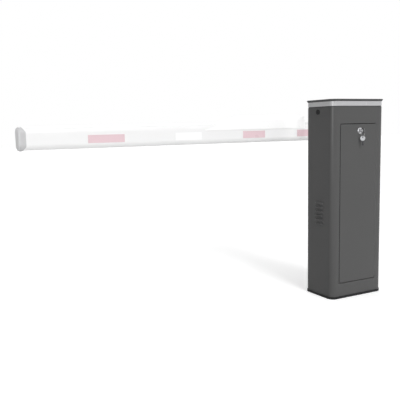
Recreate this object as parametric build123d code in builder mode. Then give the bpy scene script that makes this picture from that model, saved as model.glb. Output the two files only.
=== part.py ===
from build123d import *
from math import hypot
import os

os.makedirs("parts", exist_ok=True)

# Cabinet. The origin is the centre of the base underside, the door looks along -Y.
cab_w = 335.0  # across the door face
cab_d = 210.0  # door face to boom face
cab_h = 1000.0  # ground to the top of the lid
corner_r = 30.0  # upright corners
sheet_t = 2.0  # folded steel of housing and door

# Base plate
base_t = 12.0
base_lip = 2.5  # how far the plate stands proud of the housing
anchor_in_x = 42.5  # anchor hole centres, in from the housing's faces
anchor_in_y = 40.0
anchor_d = 14.0
cable_w = 130.0  # opening for cables out of the ground
cable_d = 70.0
cable_r = 12.0
foot_flange = 18.0  # housing flange bolted to the base plate
foot_bolt_pitch_x = 220.0
foot_bolt_d = 6.0
foot_bolt_af = 10.0
foot_bolt_head = 4.0

# Light band and lid
band_h = 22.5
band_t = 4.0
groove_h = 4.0  # shadow groove under the band
groove_depth = 4.0
head_flange = 16.0  # housing flange that carries the band
lid_t = 11.0
lid_overhang = 6.0
lid_slant = 6.0  # height of the slanting edge
lid_wall = 3.0
lid_edge_r = 1.5

# Door, flush with the front
door_side = 50.0  # housing left beside the door
door_low = 80.0  # ground to the lower edge
door_top = 86.0  # below the upper end of the housing
door_r = 6.0
door_gap = 3.0
door_return = 15.0  # folded edge, from the outer face
fold_r = 1.5  # outer radius of the folded edges
frame_extra = 2.0  # how far the frame reaches behind the door's folded edge
hook_w = 24.0
hook_t = 3.0
hook_drop = 16.0
hook_in = 45.0  # hook centres, in from the door's edges
hook_gap = 0.3
hat_w = 60.0  # stiffener on the inside
hat_depth = 12.0
hat_foot = 14.0
hat_t = 1.5
hat_low = 45.0
hat_below_lock = 45.0

# Door lock, keys and ring
lock_x = 6.0
lock_below = 33.0  # below the door's upper edge
rim_d = 32.0
rim_t = 3.0
barrel_d = 22.0
nut_af = 30.0
nut_t = 5.0
plug_d = 15.0
plug_gap = 0.05
plug_proud = 0.5
cam_len = 50.0
cam_w = 14.0
cam_t = 3.0
cam_gap = 1.0  # behind the frame
key_t = 2.0
key_blade_h = 8.0
key_blade_in = 12.0
key_neck = 5.0
bow_r = 13.0
bow_hole_r = 9.0
ring_r = 11.0
ring_wire = 1.8
ring_gap = 0.2
spare_bow_r = 12.0
spare_hole_r = 3.5
spare_rim = 2.5
spare_blade_len = 24.0
spare_gap = 0.2
spare_turn = 45.0  # how far the spare key hangs turned, in degrees

# Vent louvres and release lock on the left side
louvre_count = 6
louvre_pitch = 21.3
louvre_len = 56.0
louvre_out = 8.0
louvre_t = 1.5
louvre_end_r = 7.0
louvre_low = 374.0
louvre_y = -8.0
release_y = 7.0
release_below = 23.0  # below the upper end of the housing
release_d = 26.0
release_t = 3.0
release_edge_r = 1.2
release_barrel_d = 20.0
release_barrel_len = 26.0
release_slot_w = 2.4
release_slot_len = 11.0
release_slot_deep = 2.0

# Drive on the back wall
shaft_x = 0.0
shaft_d = 30.0
shaft_gap = 0.05
shaft_chamfer = 1.5
bearing_d = 100.0
bearing_t = 12.0
spigot_d = 56.0
spigot_gap = 0.5
bearing_chamfer = 1.5
bearing_bolt_d = 8.0
bearing_bolt_af = 13.0
bearing_bolt_head = 5.0
bracket_t = 5.0
bracket_side = 50.0  # bracket beyond the gear unit
bracket_edge = 30.0
bracket_r = 10.0
drive_gap = 12.0  # bracket to head flange
gear_w = 130.0
gear_h = 150.0
gear_d = 78.0
gear_r = 12.0
gear_boss_d = 90.0
gear_boss_t = 6.0
gear_ribs = 5
gear_rib_in = 12.0
gear_rib_t = 5.0
gear_rib_out = 8.0
gear_rib_pitch = 18.0
motor_inset = 1.0
motor_len = 150.0
motor_flange_w = 96.0
motor_flange_t = 10.0
motor_fins = 20
motor_fin_out = 5.0
motor_fin_t = 3.0
motor_cap_len = 28.0
motor_cap_r = 6.0

# Control box on the back wall, below the motor
box_gap = 102.0
box_w = 200.0
box_h = 250.0
box_base_d = 58.0
box_r = 8.0
box_lid_d = 22.0
box_lid_lip = 2.0
box_lid_r = 3.0
gland_count = 4
gland_pitch = 34.0
gland_d = 20.0
gland_len = 24.0
gland_af = 24.0
gland_hex_t = 8.0

# Boom. It lies along -X behind the cabinet and turns about a shaft along Y.
tube_h = 95.0
tube_t = 58.0
tube_r = 24.0
tube_wall = 2.5
boom_reach = 1604.0  # shaft to the outer end
boom_root = 74.0  # shaft to the inner end of the tube
cap_len = 33.0
cap_wall = 3.0
cap_solid = 14.0  # closed end, up to the end of the tube
cap_edge_r = 12.0
cap_cut_len = 15.0  # slanting cuts at the corners of its inner end
cap_cut_h = 20.0
root_cap_t = 4.0
root_spigot = 12.0
spigot_wall = 3.0
bearing_to_hub = 11.0
hub_pcd = 84.0
hub_edge = 16.0
hub_t = 12.0
hub_screw_d = 10.0
hub_screw_head_d = 20.0
carrier_t = 10.0
carrier_edge = 4.0
carrier_r = 18.0
strap_pitch = 90.0
strap_w = 30.0
strap_t = 4.0
strap_foot = 20.0
strap_bolt_d = 8.0
strap_bolt_af = 13.0
strap_bolt_head = 5.5

# Reflective strips on both faces: outer end and length, from the shaft along the boom
strip_t = 0.4
strip_h = 35.0
strip_low = 23.0  # above the lower edge of the tube
inner_strip_end = 188.0
inner_strip_gap = 6.0  # to the carrier
red_strips = ((520.0, 131.0), (1309.0, 168.0))
white_strips = ((890.0, 138.0),)

# Stiffening cowl on the inner part of the boom
cowl_reach = 735.0  # shaft to the tip of the nose
cowl_root = 139.0  # shaft to the inner end
cowl_side = 3.0
cowl_skirt = 29.0  # how far the sides reach down beside the tube
cowl_round = 20.0
cowl_wall = 3.0
cowl_h = 63.0  # over the lower edge of the skirt
nose_len = 205.0
nose_low = 3.0  # height left at the tip of the nose
nose_steps = 8

# Places that follow from the sizes
front_y = -cab_d / 2
back_y = cab_d / 2
left_x = -cab_w / 2
lid_z = cab_h - lid_t
band_z = lid_z - band_h
body_top = band_z - groove_h
band_in = band_t + groove_depth
anchor_dx = cab_w - 2 * anchor_in_x
anchor_dy = cab_d - 2 * anchor_in_y
door_w = cab_w - 2 * door_side
door_h = body_top - door_top - door_low
door_z = door_low
door_mid_z = door_z + door_h / 2
frame_depth = door_return + frame_extra
hook_pitch = door_w - 2 * hook_in
lock_z = door_z + door_h - lock_below
release_z = body_top - release_below
bracket_w = gear_w + 2 * bracket_side
bracket_h = gear_h + 2 * bracket_edge
shaft_z = body_top - sheet_t - drive_gap - bracket_h / 2
wall_in = back_y - sheet_t
bracket_y = wall_in - bracket_t
gear_front = bracket_y - gear_d
bearing_pcd = (bearing_d + spigot_d) / 2
motor_d = gear_d - 2 * motor_inset
motor_y = bracket_y - gear_d / 2
motor_top = shaft_z - gear_h / 2
box_z = motor_top - motor_len - box_gap - box_h
gland_y = wall_in - box_base_d / 2
bearing_y = back_y + bearing_t
hub_y = bearing_y + bearing_to_hub
hub_d = hub_pcd + 2 * hub_edge
carrier_y = hub_y + hub_t
carrier_w = strap_pitch + strap_w + 2 * carrier_edge
carrier_h = tube_h + 2 * (strap_t + strap_foot) + carrier_edge / 2
tube_y = carrier_y + carrier_t
tube_mid_y = tube_y + tube_t / 2
tube_back = tube_y + tube_t
tube_low = shaft_z - tube_h / 2
tube_edge = min(tube_r, 0.45 * tube_t)
strap_bolt_z = tube_h / 2 + strap_t + strap_foot / 2
inner_strip = (inner_strip_end, inner_strip_end - shaft_x - carrier_w / 2 - inner_strip_gap)
cowl_z = tube_low + tube_h - cowl_skirt
bow_y = front_y - rim_t - key_neck - bow_r
limb_z = lock_z - (bow_r + bow_hole_r) / 2
limb_reach = hypot(key_t / 2, (bow_r - bow_hole_r) / 2)
ring_z = limb_z + limb_reach + ring_gap + ring_wire / 2 - ring_r
spare_hole_z = ring_z - ring_r - (spare_hole_r - ring_wire / 2 - spare_gap)
spare_hole_up = spare_bow_r - spare_rim - spare_hole_r
spare_bow_z = spare_hole_z - spare_hole_up

door_face = Plane(origin=(0, front_y, door_mid_z), x_dir=(1, 0, 0), z_dir=(0, -1, 0))
lock_face = Plane(origin=(lock_x, front_y, lock_z), x_dir=(1, 0, 0), z_dir=(0, -1, 0))
shaft_face = Plane(origin=(shaft_x, back_y, shaft_z), x_dir=(-1, 0, 0), z_dir=(0, 1, 0))
release_face = Plane(origin=(left_x, release_y, release_z), x_dir=(0, -1, 0), z_dir=(-1, 0, 0))
gear_face = shaft_face.offset(bracket_y - back_y)
carrier_face = shaft_face.offset(tube_y - back_y)
boom_section = Plane(origin=(shaft_x, tube_mid_y, shaft_z), x_dir=(0, 1, 0), z_dir=(1, 0, 0))
cowl_section = Plane(origin=(shaft_x - cowl_reach, tube_mid_y, cowl_z), x_dir=(0, 1, 0), z_dir=(1, 0, 0))

# Places that several pieces share
anchor_places = GridLocations(anchor_dx, anchor_dy, 2, 2)
foot_bolt_places = GridLocations(foot_bolt_pitch_x, cab_d - sheet_t - foot_flange, 2, 2)
bearing_bolt_places = PolarLocations(bearing_pcd / 2, 4, start_angle=45)
strap_bolt_places = GridLocations(strap_pitch, 2 * strap_bolt_z, 2, 2)
gland_places = GridLocations(gland_pitch, 1, gland_count, 1)


def save(piece, name):
    """Label a finished piece and write it under its own name."""
    piece.part.label = name
    export_step(piece.part, "parts/" + name + ".step")


# Base plate: anchor holes, a cable opening and threaded holes for the foot bolts
with BuildPart() as base_plate:
    with BuildSketch():
        RectangleRounded(cab_w + 2 * base_lip, cab_d + 2 * base_lip, corner_r + base_lip)
        RectangleRounded(cable_w, cable_d, cable_r, mode=Mode.SUBTRACT)
        with anchor_places:
            Circle(anchor_d / 2, mode=Mode.SUBTRACT)
        with foot_bolt_places:
            Circle(foot_bolt_d / 2, mode=Mode.SUBTRACT)
    extrude(amount=base_t)
save(base_plate, "base_plate")

# Foot bolts: they hold the housing's foot flange down
with BuildPart() as foot_bolts:
    with BuildSketch(Plane.XY.offset(base_t + sheet_t)):
        with foot_bolt_places:
            RegularPolygon(foot_bolt_af / 2, 6, major_radius=False)
    extrude(amount=foot_bolt_head)
    with BuildSketch(Plane.XY.offset(base_t + sheet_t)):
        with foot_bolt_places:
            Circle(foot_bolt_d / 2)
    extrude(amount=-sheet_t - base_t)
save(foot_bolts, "foot_bolts")

# Housing: one folded shell with foot flange, head flange and a frame round the door opening
with BuildPart() as housing:
    with BuildSketch(Plane.XY.offset(base_t)):
        RectangleRounded(cab_w, cab_d, corner_r)
    extrude(amount=body_top - base_t)
    with BuildSketch(Plane.XY.offset(base_t + sheet_t)):
        RectangleRounded(cab_w - 2 * sheet_t, cab_d - 2 * sheet_t, corner_r - sheet_t)
    extrude(amount=body_top - base_t - 2 * sheet_t, mode=Mode.SUBTRACT)
    for flange_z, flange_w in ((base_t, foot_flange), (body_top - sheet_t, head_flange)):
        with BuildSketch(Plane.XY.offset(flange_z)):
            RectangleRounded(cab_w - 2 * flange_w, cab_d - 2 * flange_w, corner_r - flange_w)
        extrude(amount=sheet_t, mode=Mode.SUBTRACT)
    with BuildSketch(Plane.XY.offset(base_t)):
        with foot_bolt_places:
            Circle(foot_bolt_d / 2)
    extrude(amount=sheet_t, mode=Mode.SUBTRACT)
    # Door opening with its inward frame and a rounded fold at the front
    for grow, kind in ((door_gap + sheet_t, Mode.ADD), (door_gap, Mode.SUBTRACT)):
        with BuildSketch(door_face):
            RectangleRounded(door_w + 2 * grow, door_h + 2 * grow, door_r + grow)
        extrude(amount=-frame_depth, mode=kind)
    fillet(housing.faces().sort_by(Axis.Y)[0].inner_wires()[0].edges(), fold_r)
    with BuildSketch(release_face):
        Circle(release_barrel_d / 2)
    extrude(amount=-sheet_t, mode=Mode.SUBTRACT)
    with BuildSketch(shaft_face):
        Circle(spigot_d / 2 + spigot_gap)
        with bearing_bolt_places:
            Circle(bearing_bolt_d / 2)
    extrude(amount=-sheet_t, mode=Mode.SUBTRACT)
    # Stamped louvres: quarter-round hoods with rounded ends, open downwards
    for row in range(louvre_count):
        louvre_z = louvre_low + row * louvre_pitch
        louvre_plan = Plane(origin=(left_x, louvre_y, louvre_z), x_dir=(0, 1, 0), z_dir=(0, 0, 1))
        for inset, kind in ((0.0, Mode.ADD), (louvre_t, Mode.SUBTRACT)):
            with BuildSketch(louvre_plan):
                hood = Rectangle(
                    louvre_len - 2 * inset, louvre_out - inset, align=(Align.CENTER, Align.MIN)
                )
                fillet(hood.vertices().group_by(Axis.Y)[-1], louvre_end_r - inset)
            revolve(axis=Axis((left_x, 0, louvre_z), (0, 1, 0)), revolution_arc=90, mode=kind)
        with BuildSketch(Plane(origin=(left_x, louvre_y, louvre_z), x_dir=(0, -1, 0), z_dir=(-1, 0, 0))):
            Rectangle(
                louvre_len - 2 * louvre_end_r, louvre_out - louvre_t, align=(Align.CENTER, Align.MIN)
            )
        extrude(amount=-sheet_t, mode=Mode.SUBTRACT)
save(housing, "housing")

# Light band round the head: frosted ring above a set-back collar
with BuildPart() as light_band:
    for ring_low, ring_h, inset in ((body_top, groove_h, groove_depth), (band_z, band_h, 0.0)):
        with BuildSketch(Plane.XY.offset(ring_low)):
            RectangleRounded(cab_w - 2 * inset, cab_d - 2 * inset, corner_r - inset)
            RectangleRounded(
                cab_w - 2 * band_in, cab_d - 2 * band_in, corner_r - band_in, mode=Mode.SUBTRACT
            )
        extrude(amount=ring_h)
save(light_band, "light_band")

# Lid: pressed cover with a slanting underside that overhangs the band
with BuildPart() as lid:
    with BuildSketch(Plane.XY.offset(lid_z)):
        RectangleRounded(cab_w, cab_d, corner_r)
    with BuildSketch(Plane.XY.offset(lid_z + lid_slant)):
        RectangleRounded(
            cab_w + 2 * lid_overhang, cab_d + 2 * lid_overhang, corner_r + lid_overhang
        )
    loft()
    extrude(lid.faces().sort_by(Axis.Z)[-1], amount=lid_t - lid_slant)
    fillet(lid.faces().sort_by(Axis.Z)[-1].outer_wire().edges(), lid_edge_r)
    with BuildSketch(Plane.XY.offset(lid_z)):
        RectangleRounded(cab_w - 2 * band_in, cab_d - 2 * band_in, corner_r - band_in)
    extrude(amount=lid_t - lid_wall, mode=Mode.SUBTRACT)
save(lid, "lid")

# Release lock: round escutcheon with a key slot, high on the left side
with BuildPart() as release_lock:
    with BuildSketch(release_face):
        Circle(release_d / 2)
    extrude(amount=release_t)
    fillet(release_lock.faces().sort_by(Axis.X)[0].edges(), release_edge_r)
    with BuildSketch(release_face):
        Circle(release_barrel_d / 2)
    extrude(amount=-release_barrel_len)
    with BuildSketch(release_face.offset(release_t)):
        SlotOverall(release_slot_len, release_slot_w, rotation=90)
    extrude(amount=-release_slot_deep, mode=Mode.SUBTRACT)
save(release_lock, "release_lock")

# Drive bracket: plate that stiffens the back wall behind the gear unit
with BuildPart() as drive_bracket:
    with BuildSketch(gear_face):
        RectangleRounded(bracket_w, bracket_h, bracket_r)
        Circle(spigot_d / 2 + spigot_gap, mode=Mode.SUBTRACT)
        with bearing_bolt_places:
            Circle(bearing_bolt_d / 2, mode=Mode.SUBTRACT)
    extrude(amount=bracket_t)
save(drive_bracket, "drive_bracket")

# Shaft bearing: round flange on the back wall with a spigot through wall and bracket
with BuildPart() as shaft_bearing:
    with BuildSketch(shaft_face):
        Circle(bearing_d / 2)
        with bearing_bolt_places:
            Circle(bearing_bolt_d / 2, mode=Mode.SUBTRACT)
    extrude(amount=bearing_t)
    chamfer(shaft_bearing.faces().sort_by(Axis.Y)[-1].outer_wire().edges(), bearing_chamfer)
    with BuildSketch(shaft_face):
        Circle(spigot_d / 2)
    extrude(amount=-sheet_t - bracket_t)
    with BuildSketch(gear_face):
        Circle(shaft_d / 2 + shaft_gap)
    extrude(amount=bracket_t + sheet_t + bearing_t, mode=Mode.SUBTRACT)
save(shaft_bearing, "shaft_bearing")

# Bearing bolts: through flange, wall and bracket
with BuildPart() as bearing_bolts:
    with BuildSketch(shaft_face.offset(bearing_t)):
        with bearing_bolt_places:
            RegularPolygon(bearing_bolt_af / 2, 6, major_radius=False)
    extrude(amount=bearing_bolt_head)
    with BuildSketch(shaft_face.offset(bearing_t)):
        with bearing_bolt_places:
            Circle(bearing_bolt_d / 2)
    extrude(amount=-bearing_t - sheet_t - bracket_t)
save(bearing_bolts, "bearing_bolts")

# Gear unit: casting with ribbed sides and a round boss, bored for the output shaft
with BuildPart() as gear_unit:
    with BuildSketch(gear_face):
        RectangleRounded(gear_w, gear_h, gear_r)
    extrude(amount=-gear_d)
    with BuildSketch(gear_face.offset(-gear_d)):
        Circle(gear_boss_d / 2)
    extrude(amount=-gear_boss_t)
    with BuildSketch(Plane(origin=(shaft_x, motor_y, shaft_z), x_dir=(0, 1, 0), z_dir=(1, 0, 0))):
        with GridLocations(1, gear_rib_pitch, 1, gear_ribs):
            Rectangle(gear_d - 2 * gear_rib_in, gear_rib_t)
    extrude(amount=gear_w / 2 + gear_rib_out, both=True)
    with BuildSketch(gear_face):
        Circle(shaft_d / 2 + shaft_gap)
    extrude(amount=-gear_d - gear_boss_t, mode=Mode.SUBTRACT)
save(gear_unit, "gear_unit")

# Motor: finned can with a smooth end bell, flanged to the underside of the gear unit
motor_face = Plane(origin=(shaft_x, motor_y, motor_top), x_dir=(1, 0, 0), z_dir=(0, 0, -1))
with BuildPart() as motor:
    with BuildSketch(motor_face):
        RectangleRounded(motor_flange_w, gear_d - 2 * motor_inset, gear_r)
    extrude(amount=motor_flange_t)
    with BuildSketch(motor_face.offset(motor_flange_t)):
        Circle(motor_d / 2 - motor_fin_out)
        with PolarLocations(0, motor_fins):
            Rectangle(motor_d / 2, motor_fin_t, align=(Align.MIN, Align.CENTER))
    extrude(amount=motor_len - motor_flange_t - motor_cap_len)
    with BuildSketch(motor_face.offset(motor_len - motor_cap_len)):
        Circle(motor_d / 2)
    extrude(amount=motor_cap_len)
    fillet(motor.faces().sort_by(Axis.Z)[0].edges(), motor_cap_r)
save(motor, "motor")

# Control box with its cover
box_face = Plane(origin=(0, wall_in, box_z + box_h / 2), x_dir=(1, 0, 0), z_dir=(0, -1, 0))
with BuildPart() as control_box:
    with BuildSketch(box_face):
        RectangleRounded(box_w, box_h, box_r)
    extrude(amount=box_base_d)
save(control_box, "control_box")

with BuildPart() as control_cover:
    with BuildSketch(box_face.offset(box_base_d)):
        RectangleRounded(box_w + 2 * box_lid_lip, box_h + 2 * box_lid_lip, box_r + box_lid_lip)
    extrude(amount=box_lid_d)
    fillet(control_cover.faces().sort_by(Axis.Y)[0].edges(), box_lid_r)
save(control_cover, "control_cover")

# Cable glands under the control box
gland_face = Plane(origin=(0, gland_y, box_z), x_dir=(1, 0, 0), z_dir=(0, 0, -1))
with BuildPart() as cable_glands:
    with BuildSketch(gland_face):
        with gland_places:
            RegularPolygon(gland_af / 2, 6, major_radius=False)
    extrude(amount=gland_hex_t)
    with BuildSketch(gland_face.offset(gland_hex_t)):
        with gland_places:
            Circle(gland_d / 2)
    extrude(amount=gland_len - gland_hex_t)
save(cable_glands, "cable_glands")

# Door: tray with folded edges that tilts out about its lower edge
with BuildPart() as door_panel:
    with BuildSketch(door_face):
        RectangleRounded(door_w, door_h, door_r)
    extrude(amount=-door_return)
    fillet(door_panel.faces().sort_by(Axis.Y)[0].edges(), fold_r)
    with BuildSketch(door_face.offset(-sheet_t)):
        RectangleRounded(door_w - 2 * sheet_t, door_h - 2 * sheet_t, door_r - sheet_t)
    extrude(amount=-door_return, mode=Mode.SUBTRACT)
    with BuildSketch(lock_face):
        Circle(barrel_d / 2)
    extrude(amount=-sheet_t, mode=Mode.SUBTRACT)
save(door_panel, "door_panel")

# Hooks on the lower folded edge: they drop behind the frame and carry the door
hook_front = front_y + frame_depth + hook_gap
arm_low = door_z + sheet_t
with BuildPart() as door_hooks:
    with BuildSketch(Plane.YZ):
        with BuildLine():
            Polyline(
                (front_y + sheet_t, arm_low),
                (hook_front, arm_low),
                (hook_front, door_z - hook_drop),
                (hook_front + hook_t, door_z - hook_drop),
                (hook_front + hook_t, arm_low + hook_t),
                (front_y + sheet_t, arm_low + hook_t),
                close=True,
            )
        make_face()
    extrude(amount=(hook_pitch + hook_w) / 2, both=True)
    with BuildSketch(Plane.YZ):
        with Locations((front_y, door_z)):
            Rectangle(4 * frame_depth, 4 * hook_drop)
    extrude(amount=(hook_pitch - hook_w) / 2, both=True, mode=Mode.SUBTRACT)
save(door_hooks, "door_hooks")

# Stiffener: hat profile down the inside of the door, below the lock
hat_top = lock_z - hat_below_lock
with BuildPart() as door_stiffener:
    with BuildSketch(Plane.XY.offset(door_z + hat_low)):
        with Locations((0, front_y + sheet_t)):
            Rectangle(hat_w, hat_t, align=(Align.CENTER, Align.MIN))
            Rectangle(hat_w - 2 * hat_foot, hat_depth, align=(Align.CENTER, Align.MIN))
            Rectangle(
                hat_w - 2 * (hat_foot + hat_t),
                hat_depth - hat_t,
                align=(Align.CENTER, Align.MIN),
                mode=Mode.SUBTRACT,
            )
    extrude(amount=hat_top - door_z - hat_low)
save(door_stiffener, "door_stiffener")

# Lock body: rim outside, barrel through the panel and a nut behind it
with BuildPart() as lock_body:
    with BuildSketch(lock_face):
        Circle(rim_d / 2)
    extrude(amount=rim_t)
    fillet(lock_body.faces().sort_by(Axis.Y)[0].edges(), rim_t / 2)
    with BuildSketch(lock_face):
        Circle(barrel_d / 2)
    extrude(amount=-frame_depth)
    with BuildSketch(lock_face.offset(-sheet_t)):
        RegularPolygon(nut_af / 2, 6, major_radius=False)
    extrude(amount=-nut_t)
    with BuildSketch(lock_face.offset(rim_t)):
        Circle(plug_d / 2 + plug_gap)
    extrude(amount=-rim_t - frame_depth, mode=Mode.SUBTRACT)
save(lock_body, "lock_body")

# Lock plug with key slot
with BuildPart() as lock_plug:
    with BuildSketch(lock_face.offset(-frame_depth - cam_gap)):
        Circle(plug_d / 2)
    extrude(amount=frame_depth + cam_gap + rim_t + plug_proud)
    with BuildSketch(lock_face.offset(rim_t + plug_proud)):
        Rectangle(key_t, key_blade_h)
    extrude(amount=-key_blade_in, mode=Mode.SUBTRACT)
save(lock_plug, "lock_plug")

# Lock cam: sideways while the door is free, upwards behind the frame when it is locked
with BuildPart() as lock_cam:
    with BuildSketch(lock_face.offset(-frame_depth - cam_gap)):
        with Locations((-cam_len / 2, 0)):
            SlotCenterToCenter(cam_len, cam_w)
    extrude(amount=-cam_t)
save(lock_cam, "lock_cam")

# Key in the lock
key_side = Plane(origin=(lock_x, bow_y, lock_z), x_dir=(0, 1, 0), z_dir=(1, 0, 0))
with BuildPart() as key:
    with BuildSketch(key_side):
        Circle(bow_r)
        Rectangle(
            bow_r + key_neck - plug_proud + key_blade_in,
            key_blade_h,
            align=(Align.MIN, Align.CENTER),
        )
        Circle(bow_hole_r, mode=Mode.SUBTRACT)
    extrude(amount=key_t / 2, both=True)
save(key, "key")

# Ring that hangs on the lower limb of the bow
with BuildPart() as key_ring:
    with BuildSketch(Plane(origin=(lock_x, bow_y, ring_z))):
        with Locations((ring_r, 0)):
            Circle(ring_wire / 2)
    revolve(axis=Axis((lock_x, bow_y, ring_z), (0, 1, 0)))
save(key_ring, "key_ring")

# Spare key on the ring, turned to hang half sideways
spare_side = Plane(
    origin=(lock_x, bow_y, spare_bow_z),
    x_dir=Vector(0, 1, 0).rotate(Axis.Z, spare_turn),
    z_dir=Vector(1, 0, 0).rotate(Axis.Z, spare_turn),
)
with BuildPart() as spare_key:
    with BuildSketch(spare_side):
        Circle(spare_bow_r)
        Rectangle(key_blade_h, spare_bow_r + spare_blade_len, align=(Align.CENTER, Align.MAX))
        with Locations((0, spare_hole_up)):
            Circle(spare_hole_r, mode=Mode.SUBTRACT)
    extrude(amount=key_t / 2, both=True)
save(spare_key, "spare_key")

# Output shaft, from the gear unit's boss to the carrier
with BuildPart() as output_shaft:
    with BuildSketch(shaft_face.offset(carrier_y - back_y)):
        Circle(shaft_d / 2)
    extrude(amount=-(carrier_y - gear_front + gear_boss_t))
    chamfer(output_shaft.faces().sort_by(Axis.Y)[0].edges(), shaft_chamfer)
save(output_shaft, "output_shaft")

# Hub flange on the shaft
with BuildPart() as hub_flange:
    with BuildSketch(shaft_face.offset(hub_y - back_y)):
        Circle(hub_d / 2)
        Circle(shaft_d / 2, mode=Mode.SUBTRACT)
        with PolarLocations(hub_pcd / 2, 4, start_angle=45):
            Circle(hub_screw_d / 2, mode=Mode.SUBTRACT)
    extrude(amount=hub_t)
save(hub_flange, "hub_flange")

# Arm carrier: plate between hub and tube, countersunk for the hub screws
with BuildPart() as arm_carrier:
    with BuildSketch(carrier_face):
        RectangleRounded(carrier_w, carrier_h, carrier_r)
        with strap_bolt_places:
            Circle(strap_bolt_d / 2, mode=Mode.SUBTRACT)
    extrude(amount=-carrier_t)
    with Locations(carrier_face):
        with PolarLocations(hub_pcd / 2, 4, start_angle=45):
            CounterSinkHole(
                hub_screw_d / 2, hub_screw_head_d / 2, depth=carrier_t, counter_sink_angle=90
            )
save(arm_carrier, "arm_carrier")

# Countersunk screws that join carrier and hub
with BuildPart() as hub_screws:
    with Locations(carrier_face):
        with PolarLocations(hub_pcd / 2, 4, start_angle=45):
            Cylinder(
                hub_screw_d / 2, carrier_t + hub_t, align=(Align.CENTER, Align.CENTER, Align.MAX)
            )
            Cone(
                hub_screw_d / 2,
                hub_screw_head_d / 2,
                (hub_screw_head_d - hub_screw_d) / 2,
                align=(Align.CENTER, Align.CENTER, Align.MAX),
            )
save(hub_screws, "hub_screws")

# Boom tube: hollow profile with rounded edges
with BuildPart() as boom_tube:
    with BuildSketch(boom_section.offset(cap_solid - boom_reach)):
        RectangleRounded(tube_t, tube_h, tube_edge)
        RectangleRounded(
            tube_t - 2 * tube_wall, tube_h - 2 * tube_wall, tube_edge - tube_wall, mode=Mode.SUBTRACT
        )
    extrude(amount=boom_reach - cap_solid + boom_root)
save(boom_tube, "boom_tube")

# End cap: sleeve over the outer end
with BuildPart() as end_cap:
    with BuildSketch(boom_section.offset(-boom_reach)):
        RectangleRounded(tube_t + 2 * cap_wall, tube_h + 2 * cap_wall, tube_edge + cap_wall)
    extrude(amount=cap_len)
    fillet(end_cap.faces().sort_by(Axis.X)[0].edges(), cap_edge_r)
    with BuildSketch(boom_section.offset(cap_solid - boom_reach)):
        RectangleRounded(tube_t, tube_h, tube_edge)
    extrude(amount=cap_len, mode=Mode.SUBTRACT)
    with BuildSketch(Plane(origin=(cap_len - boom_reach, tube_mid_y, shaft_z), x_dir=(1, 0, 0), z_dir=(0, -1, 0))):
        for side in (-1, 1):
            with BuildLine():
                Polyline(
                    (0, side * (tube_h / 2 + cap_wall)),
                    (-cap_cut_len, side * (tube_h / 2 + cap_wall)),
                    (0, side * (tube_h / 2 + cap_wall - cap_cut_h)),
                    close=True,
                )
            make_face()
    extrude(amount=tube_t, both=True, mode=Mode.SUBTRACT)
save(end_cap, "end_cap")

# Root cap: plate with a spigot in the inner end of the tube
with BuildPart() as root_cap:
    with BuildSketch(boom_section.offset(boom_root)):
        RectangleRounded(tube_t, tube_h, tube_edge)
    extrude(amount=root_cap_t)
    with BuildSketch(boom_section.offset(boom_root)):
        for inset, kind in ((tube_wall, Mode.ADD), (tube_wall + spigot_wall, Mode.SUBTRACT)):
            RectangleRounded(
                tube_t - 2 * inset, tube_h - 2 * inset, tube_edge - inset, mode=kind
            )
    extrude(amount=-root_spigot)
save(root_cap, "root_cap")

# Clamp straps: they run round the tube and end in feet on the carrier
with BuildPart() as clamp_straps:
    for strap_x in (-strap_pitch / 2, strap_pitch / 2):
        with BuildSketch(boom_section.offset(strap_x)):
            for grow, kind in ((strap_t, Mode.ADD), (0.0, Mode.SUBTRACT)):
                RectangleRounded(tube_t + 2 * grow, tube_h + 2 * grow, tube_edge + grow, mode=kind)
                Rectangle(
                    tube_t / 2 + grow, tube_h + 2 * grow, align=(Align.MAX, Align.CENTER), mode=kind
                )
            with Locations((-tube_t / 2, 0)):
                Rectangle(strap_t, tube_h, align=(Align.MAX, Align.CENTER), mode=Mode.SUBTRACT)
            for side in (-1, 1):
                with Locations((-tube_t / 2 + strap_t / 2, side * (tube_h / 2 + (strap_t + strap_foot) / 2))):
                    Rectangle(strap_t, strap_t + strap_foot)
        extrude(amount=strap_w / 2, both=True)
    with BuildSketch(carrier_face):
        Rectangle(2 * carrier_w, 2 * carrier_h)
    extrude(amount=-strap_t, mode=Mode.SUBTRACT)
    with BuildSketch(carrier_face):
        with strap_bolt_places:
            Circle(strap_bolt_d / 2)
    extrude(amount=strap_t, mode=Mode.SUBTRACT)
save(clamp_straps, "clamp_straps")

# Strap bolts, through feet and carrier
with BuildPart() as strap_bolts:
    with BuildSketch(carrier_face.offset(strap_t)):
        with strap_bolt_places:
            RegularPolygon(strap_bolt_af / 2, 6, major_radius=False)
    extrude(amount=strap_bolt_head)
    with BuildSketch(carrier_face.offset(strap_t)):
        with strap_bolt_places:
            Circle(strap_bolt_d / 2)
    extrude(amount=-strap_t - carrier_t)
save(strap_bolts, "strap_bolts")

# Reflective strips on both faces of the tube
strip_z = tube_low + strip_low + strip_h / 2
for name, strips in (("reflectors_red", (inner_strip, *red_strips)), ("reflectors_white", white_strips)):
    with BuildPart() as foil:
        with BuildSketch(Plane(origin=(shaft_x, tube_mid_y, strip_z), x_dir=(1, 0, 0), z_dir=(0, -1, 0))):
            for reach, length in strips:
                with Locations((length / 2 - reach, 0)):
                    Rectangle(length, strip_h)
        extrude(amount=tube_t / 2 + strip_t, both=True)
        with BuildSketch(boom_section.offset(-boom_reach)):
            Rectangle(tube_t, tube_h)
        extrude(amount=boom_reach, mode=Mode.SUBTRACT)
    save(foil, name)

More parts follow.
